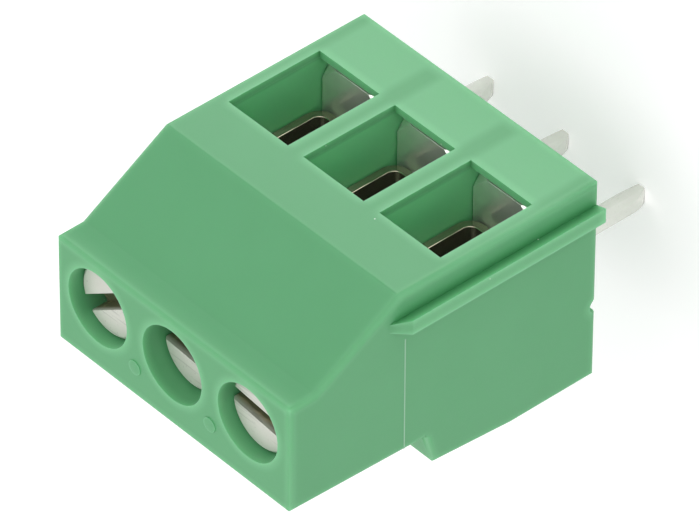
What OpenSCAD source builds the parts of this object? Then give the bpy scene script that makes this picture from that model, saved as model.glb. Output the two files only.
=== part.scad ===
// Three-pole screw terminal block for a printed circuit board.
// The board's surface is z = 0, the solder pins hang below it, the wires enter
// from the front (-Y) and the screwdriver comes from above (+Z).
// Each pole has a fixed contact strip, a clamp cage that rides up and down on it
// and a captive screw that lifts the cage. The screws' axes lie on y = 0.

/* [Block] */
// Number of poles in the row
poles = 3; // [2:1:6]
// Distance from one pole to the next
pitch = 5.08; // [5:0.02:7.62]
// Thickness of the end walls beside the outer poles
end_wall = 0.75; // [0.6:0.05:1.5]
// Screw axis to the wire-entry face
front_reach = 5.5; // [5.2:0.05:7]
// Screw axis to the rear face of the foot
foot_reach = 5.95; // [5.6:0.05:7]
// Screw axis to the rear face above the foot
rear_reach = 3.5; // [3:0.05:4.5]
// Screw axis to the front edge of the screw face
brow_reach = 2.55; // [2.3:0.05:3.2]
// Height of the plain front face above the wire entries
brow_h = 3.05; // [2:0.05:4]
// Height of the short upright face under the screw face
lip_h = 1.55; // [0.8:0.05:2.5]
// Thickness of the roof over the foot's inner room
foot_roof = 0.97; // [0.6:0.01:2]
// How far the foot's top runs up towards the rear face
foot_ramp = 0.5; // [0.1:0.05:1]
// Height of the upright part of the foot's rear face
foot_plain = 5.1; // [3:0.1:7]
// How far the foot's rear face leans in above its upright part
foot_lean = 0.4; // [0:0.05:0.6]
// Lean of the rear face above the foot, in degrees
draft_deg = 2.3; // [0:0.1:3]
// Radius of the rounded outer edges along both sides
edge_r = 0.3; // [0.15:0.05:0.5]
// Radius of the outer corners of the side outline
corner_r = 0.2; // [0.1:0.05:0.35]

/* [Wire entries] */
// Width of each wire entry in the front face
entry_w = 4.04; // [3.6:0.02:4.1]
// Height of the entry's lower edge above the board
entry_sill = 3.35; // [3.1:0.05:4.5]
// Height of each wire entry
entry_h = 5.45; // [5.2:0.05:7]
// Thickness of the front wall round the entries
front_wall = 0.4; // [0.3:0.05:1]

/* [Chambers] */
// Width of the chamber behind each entry
chamber_w = 4.14; // [4.06:0.02:4.5]
// Thickness of the foot's rear wall
foot_wall = 1; // [0.6:0.05:1.2]
// Depth of the relief under the walls between the poles
belly_relief = 0.5; // [0.2:0.05:1]
// Radius of the wash notches in the end walls' lower edges
notch_r = 0.42; // [0.2:0.02:0.5]
// Distance of the wash notches behind the screw axis
notch_y = 1.8; // [0:0.1:3]
// Radius of the low round marks between the screws
mark_r = 0.38; // [0.2:0.02:0.5]

/* [Side rail] */
// How far the rail stands out of the side face
rail_out = 0.6; // [0.3:0.05:0.8]
// Width of the rail's outer face
rail_w = 0.8; // [0.5:0.02:1.2]
// How much the rail narrows on each side towards the wall
rail_undercut = 0.16; // [0:0.02:0.2]
// Distance of the rail's middle behind the front face
rail_back = 1.55; // [1.1:0.05:3]
// Length of the sloping end of the rail
rail_ramp = 0.85; // [0.4:0.05:2]
// Height of the rail's lower end above the board
rail_lift = 0.15; // [0:0.05:1]

/* [Screws] */
// Radius of the screw head
head_r = 1.93; // [1.7:0.01:2.1]
// Height of the screw head
head_h = 1.6; // [1.2:0.05:2]
// Radius of the threaded shank, over the thread
shank_r = 1.5; // [1.2:0.05:1.55]
// Length of the shank under the head
shank_l = 6.5; // [5.8:0.05:7]
// Width of the driver slot
slot_w = 0.8; // [0.5:0.05:1]
// Depth of the driver slot
slot_depth = 1; // [0.5:0.05:1.1]
// Depth from the screw face down to the shoulder under the heads
bore_depth = 2.8; // [2.4:0.05:4]
// Thickness of the shoulder that holds the screw heads up
shoulder_t = 0.6; // [0.4:0.05:1]
// Clearance round the screw head
head_gap = 0.07; // [0.05:0.01:0.1]
// Clearance round the shank in the shoulder
shank_gap = 0.1; // [0.06:0.01:0.15]
// Clearance of the shank in the cage's thread
thread_gap = 0.05; // [0.03:0.01:0.08]

/* [Clamp cages] */
// Thickness of the cage's sheet metal
sheet_t = 0.45; // [0.35:0.01:0.5]
// Length of the cage along the wire
cage_l = 4.5; // [4:0.05:4.6]
// Inner corner radius of the cage's window
cage_r = 0.45; // [0.3:0.05:0.5]
// Height of the threaded collar on the cage
collar_h = 1; // [0.6:0.05:1.5]
// Wall of the threaded collar
collar_wall = 0.4; // [0.3:0.05:0.42]
// How far the cage rises from open to clamped
travel = 4; // [3:0.05:4]
// Clearance of the cage in its shaft
cage_gap = 0.05; // [0.03:0.01:0.1]

/* [Contacts] */
// Thickness of the contact strip and of the pin bent out of it
strip_t = 0.9; // [0.6:0.05:0.9]
// Inner radius of the strip's bends
bend_r = 0.3; // [0.2:0.05:0.5]
// Width of the contact's base plate
plate_w = 4.02; // [3.6:0.02:4.04]
// How far the plate lies below the entry's lower edge
plate_drop = 0.15; // [0.05:0.05:0.3]
// Gap between the plate's front edge and the front wall
plate_gap = 0.3; // [0.1:0.05:0.6]
// Length of the slanting facets along the edges of the plate's front corners
plate_cut = 0.9; // [0.3:0.05:1]
// Width of the clamping tongue
tongue_w = 2.7; // [2.2:0.05:2.7]
// Distance of the tongue's tip in front of the screw axis
tongue_reach = 2.7; // [2.3:0.05:3.5]
// Clearance between the strip and what it lies in
strip_gap = 0.05; // [0.03:0.01:0.1]

/* [Pins] */
// Length of the pin below the board's surface
pin_l = 5.3; // [3:0.1:6]
// Width of the pin
pin_w = 1; // [0.8:0.05:1.1]
// Width left between the bevels on the pin's front face
pin_face = 0.4; // [0.3:0.05:0.8]
// Depth of the bevels along the pin's edges
pin_bevel = 0.2; // [0.05:0.05:0.25]
// Length of the pin's tapered tip
tip_l = 1.3; // [0.6:0.05:2]
// Width left at the end of the tip
tip_w = 0.42; // [0.2:0.02:0.6]
// Gap beside the pin in the slot that it was bent out of
lance_gap = 0.1; // [0.05:0.01:0.2]

/* [Hidden] */
pole_names = [for (k = [1:poles]) str(k)];
eps = 0.01;
fine = 64;

// How each screw was left: its slot's direction in degrees, and its lift off the shoulder
slot_dirs = [-6, -4, 34];
screw_lifts = [0.45, 0.05, 0.5];

// Heights, from the board up
entry_top = entry_sill + entry_h;
plate_top = entry_sill - plate_drop;
cage_base = plate_top + strip_gap;
window_base = cage_base + sheet_t;
tongue_top = entry_top - strip_gap;
tongue_base = tongue_top - strip_t;
window_top = tongue_top + 2 * strip_gap;
wraps_top = window_top + 2 * sheet_t;
cage_top = wraps_top + collar_h;
shaft_top = cage_top + travel + 3 * cage_gap;
shoulder_z = shaft_top + shoulder_t;
body_h = shoulder_z + bore_depth;
brow_z = entry_top + brow_h;
lip_z = body_h - lip_h;
foot_h = entry_top + foot_roof;

// Widths and depths
body_w = (poles - 1) * pitch + chamber_w + 2 * end_wall;
cage_w = chamber_w - 2 * cage_gap;
window_w = cage_w - 2 * sheet_t;
room_front = front_reach - front_wall;
room_rear = foot_reach - foot_wall;
shaft_reach = cage_l / 2 + cage_gap;
leg_rear = room_rear - strip_gap;
lance_w = pin_w + 2 * lance_gap;
pin_bend_y = -strip_t / 2 - bend_r;
lance_top = (plate_top + tongue_base) / 2;
bevel_w = (pin_w - pin_face) / 2;

function pole_x(k) = (k - (poles + 1) / 2) * pitch;
function of_pole(values, k) = values[(k - 1) % len(values)];

// The side outline of the block as [y, z] corners, anticlockwise seen from -X's far side.
// The rear face above the foot leans outwards towards the board by the draft.
function lean(from_z, to_z) = (from_z - to_z) * tan(draft_deg);
outline = [
    [-front_reach, 0],
    [foot_reach, 0],
    [foot_reach, foot_plain],
    [foot_reach - foot_lean, foot_h],
    [rear_reach + lean(body_h, foot_h + foot_ramp), foot_h + foot_ramp],
    [rear_reach, body_h],
    [-brow_reach, body_h],
    [-brow_reach, lip_z],
    [-front_reach, brow_z]
];

// Small vector helpers for rounding the outline
function unit(v) = v / norm(v);
function cross2(a, b) = a[0] * b[1] - a[1] * b[0];
function at(points, i) = points[(i + len(points)) % len(points)];

// The points that round one corner: a short arc between its two tangent points,
// or the bare corner where the outline bends inwards or only slightly
function rounded_corner(p, a, b, r) =
    let (
        u = unit(a - p),
        v = unit(b - p),
        half = acos(u * v) / 2,
        reach = r / tan(half),
        centre = p + unit(u + v) * r / sin(half),
        start = p + u * reach - centre,
        turn = 180 - 2 * half
    )
    cross2(p - a, b - p) <= 0 || turn < 15 ? [p] : [
        for (i = [0:5])
            let (t = turn * i / 5)
            centre + [
                start[0] * cos(t) - start[1] * sin(t),
                start[0] * sin(t) + start[1] * cos(t)
            ]
    ];

function rounded_outline(points, r) = [
    for (i = [0:len(points) - 1])
        for (q = rounded_corner(points[i], at(points, i - 1), at(points, i + 1), r))
            q
];

// Turns a flat [y, z] shape into a slab of the given width across x
module across(width) {
    rotate([90, 0, 90])
        translate([0, 0, -width / 2])
            linear_extrude(width)
                children();
}

function bends_in(i) = cross2(at(outline, i) - at(outline, i - 1), at(outline, i + 1) - at(outline, i)) < 0;

// Takes the sharp edge off one side along the outline's edge from point i. The cut runs past
// an outward corner, and stops just short of an inward one.
module edge_round(i) {
    p = at(outline, i);
    q = at(outline, i + 1);
    before = bends_in(i) ? -edge_r / 8 : edge_r;
    after = bends_in(i + 1) ? -edge_r / 8 : edge_r;
    translate([0, p[0], p[1]])
        rotate([atan2(q[1] - p[1], q[0] - p[0]) - 90, 0, 0])
            translate([body_w / 2 - edge_r, -edge_r, -before])
                linear_extrude(norm(q - p) + before + after)
                    difference() {
                        square([2 * edge_r, 2 * edge_r]);
                        circle(edge_r, $fn = fine);
                    }
}

module side_rounding() {
    for (i = [0:len(outline) - 1])
        edge_round(i);
}

module shell() {
    difference() {
        across(body_w)
            polygon(rounded_outline(outline, corner_r));
        side_rounding();
        mirror([1, 0, 0])
            side_rounding();
    }
}

// The hollow for one pole: the room behind the entry, the cage's shaft and the screw's bore
module pole_hollow() {
    translate([-chamber_w / 2, -room_front, -eps])
        cube([chamber_w, room_front + room_rear, entry_top + eps]);
    translate([-chamber_w / 2, -shaft_reach, 0])
        cube([chamber_w, 2 * shaft_reach, shaft_top]);
    translate([-entry_w / 2, -front_reach - 1, entry_sill])
        cube([entry_w, front_wall + 1 + eps, entry_h]);
    translate([0, 0, shaft_top - eps])
        cylinder(r = shank_r + shank_gap, h = shoulder_t + 2 * eps, $fn = fine);
    translate([0, 0, shoulder_z])
        cylinder(r = head_r + head_gap, h = bore_depth + 1, $fn = fine);
}

// A dovetail rail on the -X side face, with a ramp at its upper end
module side_rail() {
    root = rail_w / 2 - rail_undercut;
    full_h = brow_z - rail_ramp / 4;
    translate([-body_w / 2, -front_reach + rail_back, 0])
        difference() {
            translate([0, 0, rail_lift])
                linear_extrude(full_h + rail_ramp - rail_lift)
                    polygon([
                        [eps, root],
                        [-rail_out, rail_w / 2],
                        [-rail_out, -rail_w / 2],
                        [eps, -root]
                    ]);
            translate([-rail_out, 0, full_h])
                rotate([0, atan(rail_out / rail_ramp), 0])
                    translate([-2, -rail_w, 0])
                        cube([2, 2 * rail_w, 3]);
        }
}

// Low round marks left on the screw face between the poles
module ejector_marks() {
    for (k = [1:poles - 1])
        translate([pole_x(k) + pitch / 2, notch_y, body_h - eps])
            cylinder(r = mark_r, h = 0.05 + eps, $fn = 32);
}

module housing() {
    color([0.22, 0.55, 0.34]) {
        difference() {
            union() {
                shell();
                side_rail();
            }
            for (k = [1:poles])
                translate([pole_x(k), 0, 0])
                    pole_hollow();
            translate([-body_w / 2 + end_wall, -room_front, -eps])
                cube([body_w - 2 * end_wall, room_front + room_rear, belly_relief + eps]);
            translate([-body_w / 2 - 1, notch_y, 0])
                rotate([0, 90, 0])
                    cylinder(r = notch_r, h = body_w + 2, $fn = 32);
        }
        ejector_marks();
    }
}

// A quarter of a round bend as a flat shape: it fills the sector between two directions
module bend(r_in, from_x, from_y) {
    sector = 2 * (r_in + strip_t);
    difference() {
        intersection() {
            circle(r_in + strip_t, $fn = fine);
            translate([from_x < 0 ? -sector : 0, from_y < 0 ? -sector : 0])
                square([sector, sector]);
        }
        circle(r_in, $fn = fine);
    }
}

// The contact strip seen from the side: base plate, rear leg and tongue
module strip_outline() {
    turn_y = leg_rear - strip_t - bend_r;
    translate([-room_front + plate_gap, plate_top - strip_t])
        square([room_front - plate_gap + turn_y, strip_t]);
    translate([turn_y, plate_top + bend_r])
        bend(bend_r, 1, -1);
    translate([leg_rear - strip_t, plate_top + bend_r])
        square([strip_t, tongue_base - plate_top - 2 * bend_r]);
    translate([turn_y, tongue_base - bend_r])
        bend(bend_r, 1, 1);
    translate([-tongue_reach, tongue_base])
        square([tongue_reach + turn_y, strip_t]);
}

// The pin seen from the side: a bend out of the plate, then straight down
module pin_outline() {
    translate([pin_bend_y, plate_top - strip_t - bend_r])
        bend(bend_r, 1, 1);
    translate([-strip_t / 2, -pin_l])
        square([strip_t, pin_l + plate_top - strip_t - bend_r]);
}

// A bullet-shaped outline for the tip: two arcs that meet a blunt end
module tip_outline(width, end_width) {
    inset = (width - end_width) / 2;
    arc_r = (tip_l * tip_l + inset * inset) / (2 * inset);
    intersection() {
        translate([-width / 2, -pin_l])
            square([width, pin_l + plate_top]);
        union() {
            translate([-width / 2, -pin_l + tip_l])
                square([width, pin_l + plate_top]);
            intersection() {
                translate([arc_r - width / 2, -pin_l + tip_l])
                    circle(arc_r, $fn = 4 * fine);
                translate([width / 2 - arc_r, -pin_l + tip_l])
                    circle(arc_r, $fn = 4 * fine);
            }
        }
    }
}

module pin() {
    intersection() {
        across(pin_w)
            pin_outline();
        translate([0, strip_t, 0])
            rotate([90, 0, 0])
                linear_extrude(2 * strip_t)
                    tip_outline(pin_w, tip_w);
        union() {
            translate([0, 0, -pin_l - 1])
                linear_extrude(pin_l + 1 + belly_relief)
                    polygon([
                        [-pin_face / 2, -strip_t / 2],
                        [pin_face / 2, -strip_t / 2],
                        [pin_w / 2, -strip_t / 2 + pin_bevel],
                        [pin_w / 2, strip_t / 2 - pin_bevel / 2],
                        [pin_w / 2 - pin_bevel / 2, strip_t / 2],
                        [-pin_w / 2 + pin_bevel / 2, strip_t / 2],
                        [-pin_w / 2, strip_t / 2 - pin_bevel / 2],
                        [-pin_w / 2, -strip_t / 2 + pin_bevel]
                    ]);
            translate([-pin_w / 2, pin_bend_y, belly_relief])
                cube([pin_w, 2 * strip_t, plate_top]);
        }
    }
}

module contact(k) {
    color([0.8, 0.8, 0.77])
        translate([pole_x(k), 0, 0]) {
            difference() {
                across(plate_w)
                    strip_outline();
                // narrower above the plate's bend, so that the tongue passes through the cage
                for (side = [-1, 1])
                    translate([side * (tongue_w + plate_w) / 2, 0, plate_top + bend_r + foot_h / 2])
                        cube([plate_w, 4 * foot_reach, foot_h], center = true);
                // facets pressed across the plate's front corners, that guide the wire
                for (side = [-1, 1])
                    translate([side * plate_w / 2, -room_front + plate_gap, plate_top])
                        rotate([0, 0, side * 45 - 90])
                            translate([-plate_cut / sqrt(2), 0, 0])
                                rotate([0, 45, 0])
                                    translate([-plate_cut, -2 * plate_cut, 0])
                                        cube([3 * plate_cut, 4 * plate_cut, 2 * plate_cut]);
                // the slot that the pin was bent out of
                translate([-lance_w / 2, pin_bend_y, plate_top - strip_t - eps])
                    cube([lance_w, foot_reach, lance_top - plate_top + strip_t]);
            }
            pin();
        }
}

// A rectangle with round corners, centred in x and standing on y = 0
module round_box(w, h, r) {
    translate([-w / 2 + r, 0])
        square([w - 2 * r, h]);
    translate([-w / 2, r])
        square([w, h - 2 * r]);
    for (side = [-1, 1])
        for (y = [r, h - r])
            translate([side * (w / 2 - r), y])
                circle(r, $fn = fine);
}

// The cage is one strip wrapped round, so its two ends lie on each other at the top
module cage(k) {
    outer_r = cage_r + sheet_t;
    color([0.72, 0.7, 0.66])
        translate([pole_x(k), 0, 0])
            difference() {
                union() {
                    translate([0, cage_l / 2, cage_base])
                        rotate([90, 0, 0])
                            linear_extrude(cage_l)
                                difference() {
                                    union() {
                                        round_box(cage_w, wraps_top - cage_base - sheet_t, outer_r);
                                        translate([-cage_w / 2, wraps_top - cage_base - 2 * outer_r])
                                            square([outer_r, outer_r]);
                                        translate([-cage_w / 2 + outer_r, wraps_top - cage_base - outer_r])
                                            circle(outer_r, $fn = fine);
                                        translate([-cage_w / 2 + outer_r, wraps_top - cage_base - sheet_t - eps])
                                            square([cage_w - 2 * outer_r, sheet_t + eps]);
                                    }
                                    translate([0, sheet_t])
                                        round_box(window_w, window_top - window_base, cage_r);
                                }
                    translate([0, 0, wraps_top - eps])
                        cylinder(r = shank_r + thread_gap + collar_wall, h = collar_h + eps, $fn = fine);
                }
                // the thread's bore also clears the rounded corners at the window's top
                translate([0, 0, window_top - cage_r])
                    cylinder(r = shank_r + thread_gap, h = cage_top - window_top + cage_r + 1, $fn = fine);
            }
}

// The screw: a cheese head with a straight slot, and the shank drawn at its thread's outer radius
module screw(k) {
    under_head = shoulder_z + of_pole(screw_lifts, k);
    chamfer = 0.15;
    color([0.78, 0.78, 0.74])
        translate([pole_x(k), 0, under_head])
            difference() {
                rotate_extrude($fn = fine)
                    polygon([
                        [0, -shank_l],
                        [shank_r - 2 * chamfer, -shank_l],
                        [shank_r, -shank_l + 2 * chamfer],
                        [shank_r, 0],
                        [head_r, 0],
                        [head_r, head_h - chamfer],
                        [head_r - chamfer, head_h],
                        [0, head_h]
                    ]);
                rotate([0, 0, of_pole(slot_dirs, k)])
                    translate([-head_r - 1, -slot_w / 2, head_h - slot_depth])
                        cube([2 * head_r + 2, slot_w, slot_depth + 1]);
            }
}

housing();
for (k = [1:poles]) {
    contact(k);
    cage(k);
    screw(k);
}
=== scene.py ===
import bmesh
import bpy
import math
import numpy as np
from mathutils import Matrix, Vector


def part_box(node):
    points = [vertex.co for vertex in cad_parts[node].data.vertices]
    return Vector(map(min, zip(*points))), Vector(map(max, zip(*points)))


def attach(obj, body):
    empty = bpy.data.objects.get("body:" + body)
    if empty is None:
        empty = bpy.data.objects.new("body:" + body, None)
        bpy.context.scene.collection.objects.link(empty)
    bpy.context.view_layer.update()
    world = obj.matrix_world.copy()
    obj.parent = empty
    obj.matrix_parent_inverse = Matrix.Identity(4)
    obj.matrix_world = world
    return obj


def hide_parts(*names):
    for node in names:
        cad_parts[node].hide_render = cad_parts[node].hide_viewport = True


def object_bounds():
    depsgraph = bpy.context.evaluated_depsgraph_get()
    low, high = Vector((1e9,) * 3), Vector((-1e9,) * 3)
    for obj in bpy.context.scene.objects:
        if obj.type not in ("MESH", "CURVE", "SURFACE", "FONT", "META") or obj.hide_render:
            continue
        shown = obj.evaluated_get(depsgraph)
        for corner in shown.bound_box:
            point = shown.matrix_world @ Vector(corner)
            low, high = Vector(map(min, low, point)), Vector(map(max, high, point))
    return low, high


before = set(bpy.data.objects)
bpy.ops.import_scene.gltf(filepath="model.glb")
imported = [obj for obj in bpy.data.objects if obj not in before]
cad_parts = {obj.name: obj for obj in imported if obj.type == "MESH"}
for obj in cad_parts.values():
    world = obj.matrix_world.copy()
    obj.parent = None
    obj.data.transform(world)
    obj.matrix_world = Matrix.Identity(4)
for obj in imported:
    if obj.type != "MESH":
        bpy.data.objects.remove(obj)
cadLow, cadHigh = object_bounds()
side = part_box("housing")[1].x  # the plain side; the other one has the rail outside it
mm = 0.001


class Wire:  # one output socket, with arithmetic that adds Math nodes
    def __init__(self, tree, socket):
        self.tree, self.socket = tree, socket

    def math(self, operation, *others):
        node = self.tree.nodes.new("ShaderNodeMath")
        node.operation = operation
        for slot, value in zip(node.inputs, (self,) + others):
            plug(self.tree, slot, value)
        return Wire(self.tree, node.outputs[0])

    def __add__(self, other): return self.math("ADD", other)
    def __radd__(self, other): return self.math("ADD", other)
    def __mul__(self, other): return self.math("MULTIPLY", other)
    def __rmul__(self, other): return self.math("MULTIPLY", other)
    def __sub__(self, other): return self.math("SUBTRACT", other)
    def __rsub__(self, other): return Wire(self.tree, number(self.tree, other)).math("SUBTRACT", self)
    def __truediv__(self, other): return self.math("DIVIDE", other)
    def over(self, edge, soft=0.02):  # 0 below the edge, 1 above it
        return ((self - edge) / soft).math("MAXIMUM", 0.0).math("MINIMUM", 1.0)


def number(tree, value):
    node = tree.nodes.new("ShaderNodeValue")
    node.outputs[0].default_value = value
    return node.outputs[0]


def plug(tree, slot, value):
    if isinstance(value, Wire):
        tree.links.new(value.socket, slot)
    elif slot.type == "RGBA" and len(value) == 3:
        slot.default_value = (*value, 1.0)
    else:
        slot.default_value = value


class Paint:  # a material and its node tree
    def __init__(self, name):
        self.material = bpy.data.materials.new(name)
        self.material.use_nodes = True
        self.tree = self.material.node_tree
        self.shader = self.tree.nodes["Principled BSDF"]
        self.out = self.tree.nodes["Material Output"]
        self.place = self.node("TexCoord", output="Object")

    def node(self, kind, settings=None, inputs=None, output=0):
        node = self.tree.nodes.new("ShaderNode" + kind)
        for key, value in (settings or {}).items():
            setattr(node, key, value)
        for key, value in (inputs or {}).items():
            plug(self.tree, node.inputs[key], value)
        return Wire(self.tree, node.outputs[output])

    def noise(self, grain, detail=2.0, roughness=0.5, stretch=(1, 1, 1)):  # grain: one patch, in metres
        spot = self.node("VectorMath", {"operation": "MULTIPLY"},
                         {0: self.place, 1: tuple(s / grain for s in stretch)})
        return self.node("TexNoise", None,
                         {"Vector": spot, "Scale": 1.0, "Detail": detail, "Roughness": roughness})

    def mix(self, share, first, second):
        return self.node("Mix", {"data_type": "RGBA"}, {0: share, 6: first, 7: second}, output=2)

    def bump(self, height, depth, strength=1.0, normal=None):
        inputs = {"Height": height, "Distance": depth, "Strength": strength}
        if normal is not None:
            inputs["Normal"] = normal
        return self.node("Bump", None, inputs, output="Normal")

    def set(self, **inputs):
        for key, value in inputs.items():
            plug(self.tree, self.shader.inputs[key.replace("_", " ")], value)
        return self.material


# the crease colour is painted shade for tight corners, the rim colour a painted highlight on thin edges, and
# the colour for inside the chambers painted light
plastic = {"colour": (0.112, 0.405, 0.178), "deep": (0.102, 0.382, 0.164), "crease": (0.03, 0.25, 0.07),
           "rim": (0.20, 0.56, 0.28), "inner": (0.19, 0.64, 0.29), "dust": (0.75, 0.85, 0.78),
           "roughness": 0.46, "ior": 1.5, "edge": 0.10 * mm, "reach": 0.7 * mm, "highlightReach": 0.5 * mm,
           "depth": 0.9 * mm, "translucent": 0.35, "bleed": (0.35, 1.0, 0.5),
           "cloud": 2.2 * mm, "grain": 0.09 * mm, "speck": 0.24 * mm, "relief": 0.004 * mm}
room = {"side": 7.1 * mm, "front": -5.2 * mm, "rear": 3.0 * mm, "floor": 1.0 * mm, "roof": 9.9 * mm,
        "soft": 0.3 * mm}  # the space of the three wire chambers


# satin moulded nylon: faint clouding and fine grain, a painted highlight at thin edges, painted light inside
# the chambers, painted shade in tight corners, with very few specks of dust
def makePlastic():
    paint = Paint("greenPlastic")
    cloud = paint.noise(plastic["cloud"], 3.0)
    grain = paint.noise(plastic["grain"], 3.0, 0.6)
    colour = paint.mix(cloud, plastic["deep"], plastic["colour"])
    x, y, z = (paint.node("SeparateXYZ", None, {"Vector": paint.place}, output=axis) for axis in "XYZ")
    soft = room["soft"]
    within = (1.0 - x.math("ABSOLUTE").over(room["side"], soft)) * y.over(room["front"], soft)
    within = within * (1.0 - y.over(room["rear"], soft)) * z.over(room["floor"], soft)
    within = within * (1.0 - z.over(room["roof"], soft))  # stands for light through the thin walls
    # painted light: the colour within the chambers' space is lighter
    colour = paint.mix(within, colour, plastic["inner"])
    clear = paint.node("AmbientOcclusion", {"samples": 8, "only_local": True},
                       {"Distance": plastic["reach"]}, output="AO")
    solid = paint.node("AmbientOcclusion", {"samples": 8, "inside": True, "only_local": True},
                       {"Distance": plastic["highlightReach"]}, output="AO")
    # painted highlight: the rim colour lightens edges and walls thinner than the reach of the inward
    # occlusion
    colour = paint.mix(1.0 - solid.over(0.35, 0.65), colour, plastic["rim"])
    # painted shade: the crease colour darkens tight corners and crevices where the outward occlusion is high
    colour = paint.mix(clear.over(0.10, 0.75), plastic["crease"], colour)
    specks = paint.noise(plastic["speck"], 0.0).over(0.905, 0.01)
    colour = paint.mix(specks, colour, plastic["dust"])
    rough = plastic["roughness"] + (grain - 0.5) * 0.16
    relief = paint.bump(grain, plastic["relief"], 0.5)
    return paint.set(Base_Color=colour, Roughness=rough, Normal=relief, IOR=plastic["ior"],
                     Subsurface_Weight=plastic["translucent"], Subsurface_Scale=plastic["depth"],
                     Subsurface_Radius=plastic["bleed"])


plating = {"cloud": 0.9 * mm, "line": 0.05 * mm, "pit": 0.16 * mm, "relief": 0.003 * mm}
tin = {"colour": (0.86, 0.87, 0.81), "roughness": 0.20, "metallic": 0.65, "edge": 0.04 * mm,
       "shy": 0.004 * mm, "brush": (1, 1, 0.05), "scuff": 0.3}
nickel = {"colour": (0.40, 0.36, 0.28), "roughness": 0.14, "metallic": 0.85, "edge": 0.05 * mm,
          "brush": (1, 0.1, 1), "scuff": 0.2}


def plated(name, look):  # plated metal: soft unevenness, faint drawing lines, small pits
    paint = Paint(name)
    cloud = paint.noise(plating["cloud"], 3.0)
    lines = paint.noise(plating["line"], 2.0, 0.5, look["brush"])
    pits = paint.noise(plating["pit"], 2.0, 0.5).over(0.66, 0.05) * look["scuff"]
    dull = tuple(c * 0.8 for c in look["colour"])
    colour = paint.mix(cloud * 0.6 + pits, look["colour"], dull)
    rough = look["roughness"] + (cloud - 0.5) * 0.10 + (lines - 0.5) * 0.08 + pits * 0.15
    bump = paint.bump(lines - pits, plating["relief"], 0.6)
    return paint, colour, rough, bump


def makeMetal(name, look):
    paint, colour, rough, bump = plated(name, look)
    return paint.set(Base_Color=colour, Metallic=look["metallic"], Roughness=rough, Normal=bump)


zinc = {"colour": (0.74, 0.73, 0.67), "slot": (0.19, 0.19, 0.11), "streak": (0.60, 0.52, 0.31),
        "roughness": 0.42, "metallic": 0.30, "edge": 0.03 * mm, "brush": (1, 1, 1), "scuff": 0.8,
        "patch": 0.7 * mm, "scratch": 0.35 * mm}


def makeZinc():  # pale worn zinc, darker down in the slot, with yellowish streaks there
    paint, colour, rough, bump = plated("zincPlate", zinc)
    sunk = paint.node("Attribute", {"attribute_name": "sunk"}, output="Fac").over(0.12, 0.25)
    patch = paint.noise(zinc["patch"], 3.0, 0.6, (0.35, 1.4, 1.0)).over(0.52, 0.12)
    slotColour = paint.mix(patch * 0.8, zinc["slot"], zinc["streak"])
    scratch = paint.noise(zinc["scratch"], 1.0, 0.4, (0.12, 2.6, 1)).over(0.62, 0.04)
    worn = paint.mix(scratch * 0.55, colour, tuple(c * 0.62 for c in zinc["colour"]))
    # the colour turns darker and yellowish with depth below the head's face
    colour = paint.mix(sunk, worn, slotColour)
    return paint.set(Base_Color=colour, Metallic=zinc["metallic"], Roughness=rough, Normal=bump)


# a welded copy of a CAD node with its sharp edges broken; shape edits the welded mesh first
def dressedCopy(node, name, edge, segments=2, angle=35.0, shape=None, clamp=False):
    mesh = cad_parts[node].data.copy()
    mesh.materials.clear()
    work = bmesh.new()
    work.from_mesh(mesh)
    bmesh.ops.remove_doubles(work, verts=work.verts, dist=0.0005 * mm)
    if shape is not None:
        shape(work)
    bmesh.ops.dissolve_limit(work, angle_limit=math.radians(0.5), verts=work.verts, edges=work.edges)
    work.to_mesh(mesh)
    work.free()
    mesh.name = name
    piece = bpy.data.objects.new(name, mesh)
    bpy.context.scene.collection.objects.link(piece)
    bevel = piece.modifiers.new("brokenEdges", "BEVEL")
    bevel.width = edge
    bevel.segments = segments
    bevel.limit_method = "ANGLE"
    bevel.angle_limit = math.radians(angle)
    bevel.use_clamp_overlap = clamp
    mesh.shade_smooth()
    weighted = piece.modifiers.new("faceNormals", "WEIGHTED_NORMAL")
    weighted.keep_sharp = True
    return piece


def meshPiece(name, points, faces):  # a new object from numpy points and faces
    mesh = bpy.data.meshes.new(name)
    mesh.from_pydata([tuple(p) for p in points], [], [tuple(int(i) for i in f) for f in faces])
    mesh.update()
    piece = bpy.data.objects.new(name, mesh)
    bpy.context.scene.collection.objects.link(piece)
    return piece


def showAs(piece, material, node, body):
    piece.data.materials.append(material)
    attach(piece, body)
    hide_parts(node)
    return piece


# round is the edges' radius, hair how near a point counts as on the side, corners the y and z of an inward
# corner with the way into the solid, and the last four the reach of the front crease and its points' spacing
block = {"round": 0.3 * mm, "hair": 0.01 * mm, "corners": [(3.82 * mm, 10.27 * mm, (-1, -1))],
         "crease": (-2.55 * mm, 16.75 * mm), "ahead": 0.1 * mm, "behind": 0.33 * mm, "around": 0.22 * mm,
         "sameX": 0.004 * mm}


# where the rounded edges meet in an inward corner, the leftover tips go down onto the round
def tuckCorners(work):
    drop = block["round"] * (1 - math.sqrt(0.5))
    for y, z, inward in block["corners"]:
        for vert in work.verts:
            off = Vector((0, vert.co.y - y, vert.co.z - z))
            if abs(abs(vert.co.x) - side) < block["hair"] and off.length < block["round"] * 0.35:
                vert.co.x -= math.copysign(drop, vert.co.x)
                vert.co += Vector((0, *inward)).normalized() * drop


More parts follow.
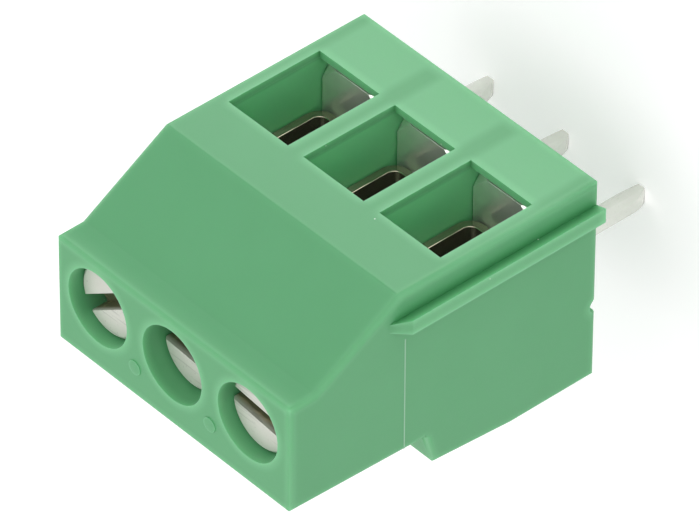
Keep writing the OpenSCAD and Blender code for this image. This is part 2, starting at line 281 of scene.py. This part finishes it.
def tidyHousing(work):  # closes the hairline step along the front crease into one line
    tuckCorners(work)
    y, z = block["crease"]
    near = [v for v in work.verts
            if -block["ahead"] < v.co.y - y < block["behind"] and abs(v.co.z - z) < block["around"]]
    close = set(near)
    tips = [v for v in near if v.co.y - y < block["hair"] and abs(abs(v.co.x) - side) < block["hair"]]
    skin = [f for f in work.faces if all(v in close for v in f.verts)]
    bmesh.ops.delete(work, geom=skin, context="FACES_ONLY")
    tips = [v for v in tips if v.is_valid]
    rows = {}
    for vert in near:
        if vert.is_valid and vert not in tips:
            rows.setdefault(round(vert.co.x / block["sameX"]), []).append(vert)
    keys = sorted(rows)
    for key in keys:  # the two arcs have the same x to within a hair
        if key + 1 in rows and len(rows[key]) == 1 and len(rows[key + 1]) == 1:
            rows[key] += rows.pop(key + 1)
    for group in rows.values():
        middle = sum((v.co for v in group), Vector()) / len(group)
        for vert in group:
            vert.co = middle
    kept = [v for group in rows.values() for v in group]
    ends = {sign: max(kept, key=lambda v: sign * v.co.x).co for sign in (-1, 1)}
    for vert in tips:
        vert.co = ends[1 if vert.co.x > 0 else -1]
    bmesh.ops.remove_doubles(work, verts=work.verts, dist=0.001 * mm)
    bmesh.ops.dissolve_degenerate(work, edges=work.edges, dist=0.0005 * mm)
    loose = [e for e in work.edges if not e.link_faces]
    bmesh.ops.delete(work, geom=loose, context="EDGES")
    print("open edges in the housing:", sum(len(e.link_faces) != 2 for e in work.edges))


def dressHousing(material):
    piece = dressedCopy("housing", "mouldedHousing", plastic["edge"], 3, 50.0, tidyHousing, True)
    return showAs(piece, material, "housing", "block")


def closedGrid(name, points):  # rows of points around an axis become a skin, closed by a cap at either end
    rows, around, _ = points.shape
    index = np.arange(rows * around).reshape(rows, around)
    beside = np.roll(index, -1, axis=1)
    quads = np.stack([index[:-1], beside[:-1], beside[1:], index[1:]], axis=-1).reshape(-1, 4)
    faces = [tuple(q) for q in quads.tolist()] + [tuple(index[0][::-1].tolist()), tuple(index[-1].tolist())]
    return meshPiece(name, points.reshape(-1, 3), faces)


thread = {"pitch": 0.5 * mm, "depth": 0.30 * mm, "around": 72, "perPitch": 10, "lead": 0.2 * mm}


def meshPoints(mesh):
    spots = np.empty(len(mesh.vertices) * 3)
    mesh.vertices.foreach_get("co", spots)
    return spots.reshape(-1, 3)


def screwForm(k):  # the screw's middle, tip, underside of the head, top and shank radius, read off the solid
    spots = meshPoints(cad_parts[f"screw_{k}"].data)
    middle = (spots[:, 0].min() + spots[:, 0].max()) / 2
    out = np.hypot(spots[:, 0] - middle, spots[:, 1])
    tip, top = spots[:, 2].min(), spots[:, 2].max()
    shank = out[spots[:, 2] < (tip + top) / 2].max()
    under = spots[out > shank * 1.1, 2].min()
    return middle, tip, under, top, shank


def threadSkin(k):
    # rows climb in z and columns go round by angle; the radius is the outer radius less the depth times a
    # trapezoid wave of z / pitch - angle / full turn, and it grows to full size over the tip's first pitch
    middle, tip, under, _, shank = screwForm(k)
    height = np.arange(tip, under + thread["lead"], thread["pitch"] / thread["perPitch"])[:, None]
    angle = np.linspace(0, 2 * np.pi, thread["around"], endpoint=False)[None, :]
    wave = np.abs(((height / thread["pitch"] - angle / (2 * np.pi)) % 1.0) * 2 - 1)
    wave = np.clip((wave - 0.12) / 0.72, 0, 1)
    taper = np.clip((height - tip) / thread["pitch"], 0, 1)
    radius = shank - thread["depth"] * np.maximum(wave, 1 - taper)
    points = np.stack([middle + radius * np.cos(angle), radius * np.sin(angle), height + 0 * angle], axis=-1)
    piece = closedGrid(f"screwThread_{k}", points)
    piece.data.shade_smooth()
    return piece


def headOnly(under):  # keeps the head and drops the plain shank, then closes the head underneath
    def shape(work):
        gone = [v for v in work.verts if v.co.z < under - 0.001 * mm]
        bmesh.ops.delete(work, geom=gone, context="VERTS")
        rim = [e for e in work.edges if e.is_boundary]
        bmesh.ops.contextual_create(work, geom=rim)
    return shape


def markSunk(piece, top):  # sunk is the depth below the head's face in millimetres
    sunk = (top - meshPoints(piece.data)[:, 2]) / mm
    piece.data.attributes.new("sunk", "FLOAT", "POINT").data.foreach_set("value", sunk.astype(np.float32))


def liftTips(work):  # the pin's end stays a hair above the lowest point that the solid has
    lowest = min(vert.co.z for vert in work.verts) + tin["shy"]
    for vert in work.verts:
        vert.co.z = max(vert.co.z, lowest)


def dressPole(k, looks):
    contact = dressedCopy(f"contact_{k}", f"contactStrip_{k}", tin["edge"], shape=liftTips, clamp=True)
    showAs(contact, looks["tin"], f"contact_{k}", "block")
    cage = dressedCopy(f"cage_{k}", f"clampCage_{k}", nickel["edge"], 3)
    showAs(cage, looks["nickel"], f"cage_{k}", f"cage_{k}")
    _, _, under, top, _ = screwForm(k)
    head = dressedCopy(f"screw_{k}", f"screwHead_{k}", zinc["edge"], shape=headOnly(under))
    markSunk(head, top)
    showAs(head, looks["zinc"], f"screw_{k}", f"screw_{k}")
    skin = threadSkin(k)
    skin.data.materials.append(looks["zinc"])
    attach(skin, f"screw_{k}")


witness = {"level": 11.55 * mm, "from": -2.85 * mm, "to": 3.6 * mm, "width": 0.07 * mm, "proud": 0.010 * mm,
           "colour": (0.34, 0.58, 0.40), "roughness": 0.8, "rows": 24, "around": 12}


def witnessLine():
    # rows run along y and columns go round by angle: x stands off the side by the proudness times the
    # angle's cosine, and z leaves the level by half the width times its sine
    along = np.linspace(witness["from"], witness["to"], witness["rows"])[:, None]
    turn = np.linspace(0, 2 * np.pi, witness["around"], endpoint=False)[None, :]
    x = -side - witness["proud"] * np.cos(turn) + 0 * along
    z = witness["level"] + witness["width"] / 2 * np.sin(turn) + 0 * along
    piece = closedGrid("partingLine", np.stack([x, along + 0 * turn, z], axis=-1))
    look = Paint("paleFlash").set(Base_Color=witness["colour"], Roughness=witness["roughness"])
    piece.data.materials.append(look)
    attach(piece, "block")


floorLook = {"colour": (0.84, 0.84, 0.84), "lift": 0.36, "size": 0.9, "below": 0.02 * mm}
card = {"near": 8 * mm, "far": 31 * mm, "soft": 4 * mm, "glow": 2.1}  # bright strip that the front mirrors


def makeFloor():  # pale floor: it takes the shadow and holds the bright strip in front of the block
    paint = Paint("paleFloor")
    tree = paint.tree
    tree.nodes.remove(paint.shader)
    diffuse = paint.node("BsdfDiffuse", None, {"Color": floorLook["colour"]}, output="BSDF")
    seen = paint.node("LightPath", output="Is Camera Ray")
    gloss = paint.node("LightPath", output="Is Glossy Ray")
    spread = paint.node("SeparateXYZ", None, {"Vector": paint.place}, output="Y") * -1.0
    strip = spread.over(card["near"], card["soft"]) * (1.0 - spread.over(card["far"], card["soft"]))
    strength = seen * floorLook["lift"] + gloss * (floorLook["lift"] + strip * card["glow"])
    glow = paint.node("Emission", None, {"Color": (1, 1, 1), "Strength": strength}, output="Emission")
    both = tree.nodes.new("ShaderNodeAddShader")
    plug(tree, both.inputs[0], diffuse)
    plug(tree, both.inputs[1], glow)
    tree.links.new(both.outputs[0], paint.out.inputs["Surface"])
    paint.material.cycles.emission_sampling = "NONE"  # its glow is only seen, it lights nothing
    half, level = floorLook["size"] / 2, cadLow.z - floorLook["below"]
    corners = [(-half, -half, level), (half, -half, level), (half, half, level), (-half, half, level)]
    floor = meshPiece("floor", corners, [(0, 1, 2, 3)])
    floor.data.materials.append(paint.material)


light = {"world": 0.92, "glow": 1.0, "left": 1.6, "top": 0.6,
         "key": 0.05, "keySize": 120 * mm, "keyFrom": (0.5, -0.5, 0.7), "keyAway": 300 * mm}


def makeWorld():
    world = bpy.data.worlds.new("softRoom")
    bpy.context.scene.world = world
    world.use_nodes = True
    tree = world.node_tree
    back = tree.nodes["Background"]
    path = tree.nodes.new("ShaderNodeLightPath")
    gloss = Wire(tree, path.outputs["Is Glossy Ray"])
    seen = Wire(tree, path.outputs["Is Camera Ray"]).math("MAXIMUM", gloss)
    seen = seen.math("MAXIMUM", Wire(tree, path.outputs["Is Transmission Ray"]))
    strength = light["world"] + seen * (light["glow"] - light["world"])
    place = tree.nodes.new("ShaderNodeTexCoord")
    parts = tree.nodes.new("ShaderNodeSeparateXYZ")
    tree.links.new(place.outputs["Generated"], parts.inputs[0])
    # two soft boxes that only gloss shows: at the left and overhead
    left = (Wire(tree, parts.outputs["X"]) * -1.0).over(-0.25, 0.5) * light["left"]
    above = Wire(tree, parts.outputs["Z"]).over(0.60, 0.15) * light["top"]
    strength = strength + gloss * left.math("MAXIMUM", above)
    plug(tree, back.inputs["Color"], (1, 1, 1))
    plug(tree, back.inputs["Strength"], strength)


def areaLamp(name, direction, distance, size, power):
    lamp = bpy.data.lights.new(name, "AREA")
    lamp.shape = "SQUARE"
    lamp.size = size
    lamp.energy = power
    holder = bpy.data.objects.new(name, lamp)
    away = Vector(direction).normalized()
    holder.location = (cadLow + cadHigh) / 2 + away * distance
    holder.rotation_euler = away.to_track_quat("Z", "Y").to_euler()
    bpy.context.scene.collection.objects.link(holder)


view = {"place": (-245.3016 * mm, -284.0042 * mm, 226.7340 * mm), "lens": 499.2,
        "right": (-0.6630617, -0.0043842, -0.7485519), "up": (0.4914924, -0.7567935, -0.4309279),
        "back": (-0.5646099, -0.6536394, 0.5039556)}  # where the camera stands and which way it is turned


def makeCamera():
    camera = bpy.data.cameras.new("camera")
    camera.lens = view["lens"]
    camera.sensor_width = 36.0
    camera.clip_start, camera.clip_end = 0.01, 5.0
    holder = bpy.data.objects.new("camera", camera)
    turn = Matrix((view["right"], view["up"], view["back"])).transposed()
    holder.matrix_world = Matrix.Translation(Vector(view["place"])) @ turn.to_4x4()
    bpy.context.scene.collection.objects.link(holder)
    bpy.context.scene.camera = holder


looks = {
    "plastic": makePlastic(),
    "tin": makeMetal("tinPlate", tin),
    "nickel": makeMetal("nickelPlate", nickel),
    "zinc": makeZinc(),
}
print("materials made")
dressHousing(looks["plastic"])
witnessLine()
print("housing dressed")
for k in (1, 2, 3):
    dressPole(k, looks)
print("poles dressed")
makeFloor()
makeWorld()
areaLamp("key", light["keyFrom"], light["keyAway"], light["keySize"], light["key"])
makeCamera()
bpy.context.scene.view_settings.view_transform = "Standard"
print("stage set")
